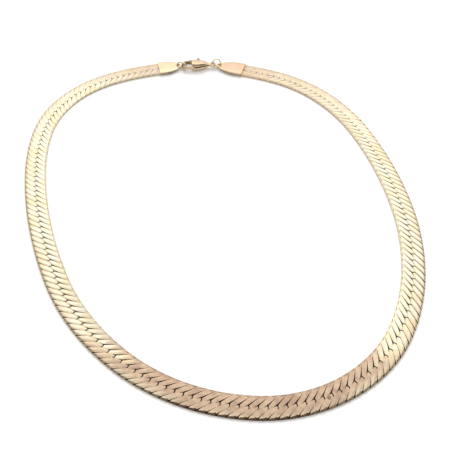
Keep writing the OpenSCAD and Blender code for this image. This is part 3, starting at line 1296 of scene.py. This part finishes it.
@dataclass
class Clasp:
    """The lobster clasp: a drop-shaped body with a hook and a tail eye, and its lever.

    Places are in the clasp's own frame, with x from the middle of the hook to the tail.
    """

    frame: Matrix
    pivot: Flat
    eye: Flat = (10.3303, 0.3052)
    thickness: float = 3.0
    body_r: float = 2.95
    body_x: float = 3.6
    body_from: float = 1.5
    body_rings: int = 22
    body_points: int = 48
    fullness: float = 2.6
    full_reach: float = 1.8
    tail_r: float = 0.85
    tail_back: float = 1.2
    thin_back: float = 1.4
    body_back: float = 0.5
    groove: float = 0.14
    groove_points: tuple[int, ...] = (17, 21, 22)
    groove_ends: Flat = (1.0, 2.0)
    groove_rings: tuple[int, int] = (2, -4)
    hook_r: float = 2.2
    hook_wire_r: float = 0.7
    hook_steps: int = 18
    hook_points: int = 20
    hook_root: tuple[Flat, ...] = ((0.8, 0.0), (1.6, 0.0), (2.4, 0.1), (3.6, 0.6))
    root_share: float = 0.6
    tip_angle: float = 112.0
    tip_share: float = 0.80
    tip_gain: float = 0.03
    # How far round and out the hook's tip is painted dark, as shade.
    dark_steps: int = 12
    dark_reach: float = 1.4
    lever_t: float = 1.2
    lever_bore_r: float = 0.46
    lever_rounding: float = 0.12
    hub_r: float = 1.1
    pin_bore_r: float = 0.44
    slot_room: float = 0.2
    slot_from: Flat = (-0.4, -0.45)
    slot_top: float = 6.0
    eye_r: float = 1.25
    eye_hole_r: float = 0.74
    eye_t: float = 1.0
    rounding: float = 0.07

    def __post_init__(self) -> None:
        """Works out the clasp's middle height."""
        self.middle_z = self.thickness / 2

    def half_width(self, x: float) -> float:
        """Works out half the body's width.

        Args:
            x: Distance from the hook's middle.

        Returns:
            Half the width there.
        """
        tail_x = self.eye[0] - self.tail_back
        lean = math.acos((self.body_r - self.tail_r) / (tail_x - self.body_x))
        touch = self.body_x + self.body_r * math.cos(lean)
        if x <= touch:
            return math.sqrt(max(0.0, self.body_r ** 2 - (x - self.body_x) ** 2))
        share = (x - touch) / (tail_x + self.tail_r * math.cos(lean) - touch)
        return (1 - share) * self.body_r * math.sin(lean) + share * self.tail_r * math.sin(lean)

    def half_thickness(self, x: float) -> float:
        """Returns half the body's thickness at a distance from the hook's middle."""
        share = eased(self.body_x + self.full_reach, self.eye[0] - self.thin_back, x)
        return self.middle_z + (self.eye_t / 2 - self.middle_z) * share

    def body(self, materials: Sequence[Material]) -> Object:
        """Models the body with its slot and bores.

        Args:
            materials: The metals, in the order of ClaspSlot.

        Returns:
            The piece.
        """
        made = Shape.finish(self._drop(), "claw_body_dressed", materials)
        Shape.weld(made, Shape.loft(self._hook_rings()))
        Shape.weld(made, Shape.rod(self._at(self.eye), self.eye_r, self.eye_t))
        Shape.cut(made, self._slot())
        for place, radius in ((self.pivot, self.pin_bore_r), (self.eye, self.eye_hole_r)):
            Shape.cut(made, Shape.rod(self._at(place, 0.0), radius, 4 * self.thickness))
        Shape.soften(made, self.rounding)
        # The hook's tip takes the lever's dark metal: painted shade.
        inside = self.frame.inverted()
        dark_till = self._hook_angle(self.dark_steps)
        for face in made.data.polygons:
            place = inside @ (face.center / MM)
            turned = math.atan2(place.y, place.x) % math.tau
            if place.x < self.dark_reach and turned < dark_till:
                face.material_index = ClaspSlot.TIP.value
        return made

    def _at(self, place: Flat, height: float | None = None) -> Matrix:
        """Returns the frame of a place on the clasp, at its middle height if none is given."""
        return self.frame @ placed(place, self.middle_z if height is None else height)

    def _drop(self) -> BMesh:
        """Models the drop-shaped body without its slot, and marks its grooves for their painted
        shade.

        Returns:
            A new closed bmesh.
        """
        first_x, last_x = self.body_from, self.eye[0] - self.body_back
        rings = []
        for step in range(self.body_rings + 1):
            x = first_x + (last_x - first_x) * step / self.body_rings
            half_t = self.half_thickness(x)
            drift = self.eye[1] * max(0.0, (x - self.body_x) / (last_x - self.body_x))
            section = rounded_section(self.half_width(x), self.middle_z - half_t,
                                      self.middle_z + half_t, self.fullness, self.body_points)
            depth = self.groove * min(1.0, (x - first_x) / self.groove_ends[0],
                                      (last_x - x) / self.groove_ends[1])
            for number in self.groove_points:
                y, z = section[number]
                section[number] = (y * (1 - depth),
                                   self.middle_z + (z - self.middle_z) * (1 - depth))
            rings.append([self.frame @ Vector((x, y + drift, z)) for y, z in section])
        bm = Shape.loft(rings)
        first, last = self.groove_rings
        bottoms = {tuple(round(part, 3) for part in ring[number])
                   for ring in rings[first:last] for number in self.groove_points}
        for vert in bm.verts:
            if tuple(round(part, 3) for part in vert.co) in bottoms:
                for face in vert.link_faces:
                    face.material_index = ClaspSlot.GROOVE.value
        return bm

    def _hook_angle(self, step: int) -> float:
        """Returns how far round the hook's middle one of its steps is, in radians."""
        return math.radians(self.tip_angle + (270 - self.tip_angle) * step / self.hook_steps)

    def _hook_rings(self) -> list[list[Vector]]:
        """Works out the sections of the hook.

        Returns:
            Its rings, from its tip round to inside the body.
        """
        path = [(self.hook_r * math.cos(a), self.hook_r * math.sin(a), a + math.pi / 2)
                for a in map(self._hook_angle, range(self.hook_steps + 1))]
        path += [(x, rise - self.hook_r, 0.0) for x, rise in self.hook_root]
        rings = []
        for number, (x, y, heading) in enumerate(path):
            radius = self.hook_wire_r * min(1.0, self.tip_share + self.tip_gain * number)
            if number == len(path) - 1:
                radius *= self.root_share
            side = Vector((-math.sin(heading), math.cos(heading), 0))
            rings.append(Shape.hoop(self.frame, Vector((x, y, self.middle_z)), radius * side,
                                    radius * Vector((0, 0, 1)), self.hook_points))
        return rings

    def _slot(self) -> BMesh:
        """Models the room that the lever turns in.

        Returns:
            A new closed bmesh.
        """
        low = Vector(self.slot_from)
        high = Vector((self.pivot[0] + self.hub_r + self.slot_room, self.slot_top))
        size = Matrix.Diagonal((*(high - low), self.lever_t + self.slot_room, 1))
        bm = bmesh.new()
        bmesh.ops.create_cube(bm, size=1.0, matrix=self._at((low + high) / 2) @ size)
        return bm

    def lever_outline(self) -> list[Flat]:
        """Draws the plan of the lever: its blade, its thumb nub and its hub.

        Returns:
            Corners in order.
        """
        hub = [(self.pivot[0] + self.hub_r * math.cos(math.radians(angle)),
                self.pivot[1] + self.hub_r * math.sin(math.radians(angle)))
               for angle in range(50, -101, -15)]
        return [(-0.95, 1.2), (-0.78, 2.1), (0.4, 2.6), (2, 2.85), (3.2, 3), (3.8, 4.1),
                (4.1, 4.38), (4.45, 4.3), (4.9, 2.9), (5.6, 2.25), *hub, (3.6, 0.5), (1.4, 1.05)]

    def lever(self, materials: Sequence[Material]) -> Object:
        """Models the lever.

        Args:
            materials: The metal, painted dark as shade.

        Returns:
            The piece.
        """
        bm = Shape.plate(self.lever_outline(), self.middle_z - self.lever_t / 2,
                         self.middle_z + self.lever_t / 2)
        bmesh.ops.transform(bm, matrix=self.frame, verts=bm.verts)
        made = Shape.finish(bm, "claw_lever_dressed", materials)
        bore = Shape.rod(self._at(self.pivot, 0.0), self.lever_bore_r, 4 * self.thickness)
        Shape.cut(made, bore)
        Shape.soften(made, self.lever_rounding, 3)
        return made


@dataclass
class Studio:
    """The pale surface, the soft light and the camera.

    The sky's tones are (height, tone) from straight down, 0, to straight up, 1.
    """

    camera_at: Point = (4.47, -163.08, 159.84)
    camera_down: float = 46.8
    focal_px: float = 663.86
    image_px: float = 450.0
    sensor: float = 36.0
    near_clip: float = 0.001
    floor_side: float = 4.0
    floor_tone: float = 0.93
    floor_glow: float = 0.1
    lamp_strength: float = 1.35
    lamp_spread: float = 35.0
    lamp_turn: float = -48.0
    behind_from: Flat = (-0.25, 0.15)
    side_tone: Colour = (0.42, 0.38, 0.32)
    side_share: float = 0.75
    side_from: Flat = (0.10, 0.40)
    sky_behind: tuple[tuple[float, Colour], ...] = (
        (0.0, (0.85, 0.85, 0.85)), (0.55, (1.12, 1.12, 1.12)), (0.68, (1.85, 1.85, 1.82)),
        (0.76, (1.85, 1.85, 1.82)), (0.86, (0.82, 0.81, 0.80)), (0.96, (0.82, 0.81, 0.80)),
        (0.99, (1.4, 1.4, 1.4)))
    sky_before: tuple[tuple[float, Colour], ...] = (
        (0.0, (0.50, 0.49, 0.48)), (0.9, (0.65, 0.65, 0.65)), (0.985, (1.4, 1.4, 1.4)))

    def build(self) -> None:
        """Makes the floor, the light and the camera."""
        bpy.context.scene.view_settings.view_transform = "Standard"
        self._floor()
        self._sky()
        self._lamp()
        self._camera()

    def _floor(self) -> None:
        """Lays the pale floor."""
        bm = bmesh.new()
        bmesh.ops.create_grid(bm, x_segments=1, y_segments=1, size=self.floor_side / 2)
        mesh = bpy.data.meshes.new("floor")
        bm.to_mesh(mesh)
        bm.free()
        paint, nodes = blank_material("floor_white")
        nodes.surface(Base_Color=(*[self.floor_tone] * 3, 1), Roughness=0.9,
                      Emission_Color=(1, 1, 1, 1), Emission_Strength=self.floor_glow)
        mesh.materials.append(paint)
        show(bpy.data.objects.new("floor", mesh))

    def _sky(self) -> None:
        """Sets a soft sky, bright behind the necklace and darker at its sides."""
        world = bpy.data.worlds.new("studio")
        bpy.context.scene.world = world
        world.use_nodes = True
        nodes = Nodes(world.node_tree)
        direction = nodes.add("ShaderNodeTexCoord", output="Generated")
        sideways, away, height = (nodes.part(direction, number) for number in range(3))
        behind, before = (nodes.add("ShaderNodeValToRGB", {"stops": stops}, {0: height})
                          for stops in (self.sky_behind, self.sky_before))
        sky = nodes.mix(away.above(*self.behind_from), before, behind)
        side = (sideways * sideways).above(*self.side_from) * self.side_share
        sky = nodes.mix(side, sky, self.side_tone)
        background = nodes.add("ShaderNodeBackground", {}, {"Color": sky, "Strength": 1.0})
        nodes.add("ShaderNodeOutputWorld", {}, {"Surface": background})

    def _lamp(self) -> None:
        """Sets one broad soft lamp behind the necklace, which its metal doesn't mirror."""
        lamp = bpy.data.lights.new("soft_lamp", "SUN")
        lamp.energy = self.lamp_strength
        lamp.angle = math.radians(self.lamp_spread)
        holder = show(bpy.data.objects.new("soft_lamp", lamp))
        holder.rotation_euler = (math.radians(self.lamp_turn), 0, 0)
        holder.visible_glossy = False

    def _camera(self) -> None:
        """Sets the camera at the photograph's angle."""
        data = bpy.data.cameras.new("camera")
        data.sensor_width = self.sensor
        data.lens = self.focal_px / self.image_px * self.sensor
        data.clip_start = self.near_clip
        camera = show(bpy.data.objects.new("camera", data))
        camera.location = Vector(self.camera_at) * MM
        camera.rotation_euler = (math.radians(90 - self.camera_down), 0, 0)
        bpy.context.scene.camera = camera


@dataclass
class Necklace:
    """The whole necklace, built round the frame."""

    frame: dict
    course: Course = field(default_factory=Course)
    right_cap_l: float = 10.4
    left_cap_l: float = 8.2
    curl_at: Flat = (4.35, -0.1)
    nick_at: Point = (186.7, 0.64, 0.9)
    right_solder_links: int = 4
    left_solder_links: int = 3
    core_lap: float = 0.4
    right_core_back: float = 1.0
    left_core_back: float = 3.4
    ring_wire_r: float = 0.3
    catch_r: float = 1.3
    catch_reach: float = 3.6
    catch_straight: float = 1.255
    catch_turn: float = -13.0
    tail_ring_r: float = 1.75
    tail_ring_lean: float = 25.0

    def __post_init__(self) -> None:
        """Works out the places of the cap holes and of the clasp, and makes the materials."""
        course = self.course
        start_heading = math.radians(course.heading)
        right_hole = Vector(course.start) - self.right_cap_l * course.ahead(start_heading)
        left_hole = course.end + self.left_cap_l * course.ahead(course.end_heading)
        across = right_hole - left_hole
        self.clasp_heading = math.atan2(across.y, across.x)
        self.clasp_frame = placed(left_hole, heading=self.clasp_heading)
        self.chain = Chain(course)
        self.metals = {finish.name: finish.material() for finish in self._finishes()}

    def _finishes(self) -> tuple[GoldFinish | GrimeAndShadeFinish, ...]:
        """Lists the finishes of the necklace's metals.

        Returns:
            The finishes.
        """
        along, out, height = self.nick_at
        return (
            # The chain's rose, sunny and tint tones are partly its colour and partly painted light
            # and shade along its loop.
            GoldFinish("chain_metal", rose=(0.52, 0.36, 0.26), sunny=(0.75, 0.56, 0.39),
                       nick=(*self.course.place(along, out), height), by_place=True),
            # The slit walls and the chain's edges are partly grime and partly painted shade; the
            # edges are darkest at the front's outer wall, as painted contact shade.
            GrimeAndShadeFinish("slit_walls"),
            GrimeAndShadeFinish("chain_edges", (0.15, 0.09, 0.05), (0.84, 0.70, 0.50), onset=8.0),
            GoldFinish("warm_cap_metal", (0.86, 0.66, 0.47), (0.82, 0.54, 0.30),
                       (0.76, 0.48, 0.34), (0.80, 0.53, 0.33), rose_share=0.45),
            GoldFinish("pale_cap_metal", (0.90, 0.74, 0.50), (0.84, 0.61, 0.37),
                       stain_share=0.25),
            # The caps' sides: painted shade, darker than their tops.
            GrimeAndShadeFinish("cap_sides", (0.20, 0.16, 0.10), (0.55, 0.49, 0.36), by_place=False),
            GoldFinish("ring_metal", polish=Polish.BRIGHT),
            GoldFinish("clasp_metal", (0.90, 0.80, 0.60), (0.88, 0.68, 0.38), (0.60, 0.39, 0.27),
                       (0.78, 0.57, 0.37), rose_share=0.6, stain_share=0.35),
            # The lever and the hook's tip: painted shade.
            GoldFinish("lever_metal", (0.30, 0.22, 0.12), (0.24, 0.18, 0.09), (0.26, 0.17, 0.10),
                       (0.30, 0.21, 0.12)),
            # The clasp's grooves: painted shade.
            GrimeAndShadeFinish("claw_grooves", (0.10, 0.06, 0.035), (0.32, 0.21, 0.13), by_place=False),
        )

    def _metals(self, *names: str) -> list[Material]:
        """Returns the named materials."""
        return [self.metals[name] for name in names]

    def build(self) -> None:
        """Builds and dresses every sub-assembly."""
        self._chain()
        self._caps()
        self._rings()
        self._clasp()
        pin = self.frame["nodes"]["lever_pin"]
        pin.data.materials.clear()
        pin.data.materials.append(self.metals["clasp_metal"])

    def _add(self, piece: Object, node: str, body: str = ROOT_BODY) -> None:
        """Joins a piece to the frame.

        Args:
            piece: The piece.
            node: The node that it stands for.
            body: The body that it moves with.
        """
        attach(piece, body)
        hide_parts(node)
        log.info("%s: %d faces, for %s", piece.name, len(piece.data.polygons), node)

    def _links(self, name: str, numbers: Iterable[int], fill: float = 0.0,
               core: Flat | None = None) -> Object:
        """Lays links in the chain's own metals.

        Args:
            name: Name of the piece.
            numbers: The links' numbers, from the right cap.
            fill: How much the slits are closed over the solder, 0 to 1.
            core: Where a solid core under the surface starts and ends, if there is one.

        Returns:
            The piece.
        """
        metals = self._metals("chain_metal", "slit_walls", "chain_edges")
        return self.chain.stretch(name, numbers, metals, fill, core)

    def _chain(self) -> None:
        """Builds the loose links in their two halves."""
        count = self.chain.link_count
        front = count // 2
        self._add(self._links("links_right_dressed", range(front)), "links_right")
        self._add(self._links("links_left_dressed", range(front, count)), "links_left")

    def _caps(self) -> None:
        """Builds the end caps and the soldered stretches beside them."""
        course, chain = self.course, self.chain
        right = EndCap("end_cap_right_dressed", Vector(course.start),
                       math.radians(course.heading + 180), self.right_cap_l)
        self._add(right.build(self._metals("warm_cap_metal", "cap_sides")), "end_cap_right")
        left = EndCap("end_cap_left_dressed", course.end, course.end_heading, self.left_cap_l)
        self._add(left.build(self._metals("pale_cap_metal", "cap_sides")), "end_cap_left")
        core = (-self.core_lap, chain.right_solder - self.right_core_back)
        solder = self._links("solder_right", range(-self.right_solder_links, 0), 1.0, core)
        self._add(solder, "end_cap_right")
        last = chain.link_count
        core = (course.length - chain.left_solder + self.left_core_back,
                course.length + self.core_lap)
        solder = self._links("solder_left", range(last, last + self.left_solder_links), 1.0, core)
        self._add(solder, "end_cap_left")

    def _rings(self) -> None:
        """Builds the oval catch ring and the round tail ring."""
        turned = Matrix.Rotation(math.radians(self.catch_turn), 4, "Z")
        frame = self.clasp_frame @ turned @ placed((self.catch_reach - self.catch_r, 0))
        catch = Ring("catch_ring_dressed", frame, self.catch_r, self.ring_wire_r,
                     self.catch_straight)
        self._add(catch.build(self._metals("ring_metal")), "catch_ring")
        low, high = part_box("tail_ring")
        tail = Ring("tail_ring_dressed",
                    placed((low + high) / 2 / MM, heading=self.clasp_heading),
                    self.tail_ring_r, self.ring_wire_r, lean=self.tail_ring_lean)
        self._add(tail.build(self._metals("ring_metal")), "tail_ring")

    def _clasp(self) -> None:
        """Builds the clasp's body and its lever."""
        claw_frame = self.clasp_frame @ placed(self.curl_at)
        hinge = Vector(self.frame["joints"][0]["pos_m"]) / MM
        pivot = claw_frame.inverted() @ hinge
        clasp = Clasp(claw_frame, (pivot.x, pivot.y))
        body = clasp.body(self._metals("clasp_metal", "lever_metal", "claw_grooves"))
        self._add(body, "claw_body")
        lever = clasp.lever(self._metals("lever_metal"))
        self._add(lever, "claw_lever", LEVER_BODY)


def main() -> None:
    """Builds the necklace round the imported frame, and the studio."""
    logging.basicConfig(level=logging.INFO, format="%(name)s: %(message)s")
    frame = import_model()
    Necklace(frame).build()
    Studio().build()


if __name__ == "__main__":
    main()
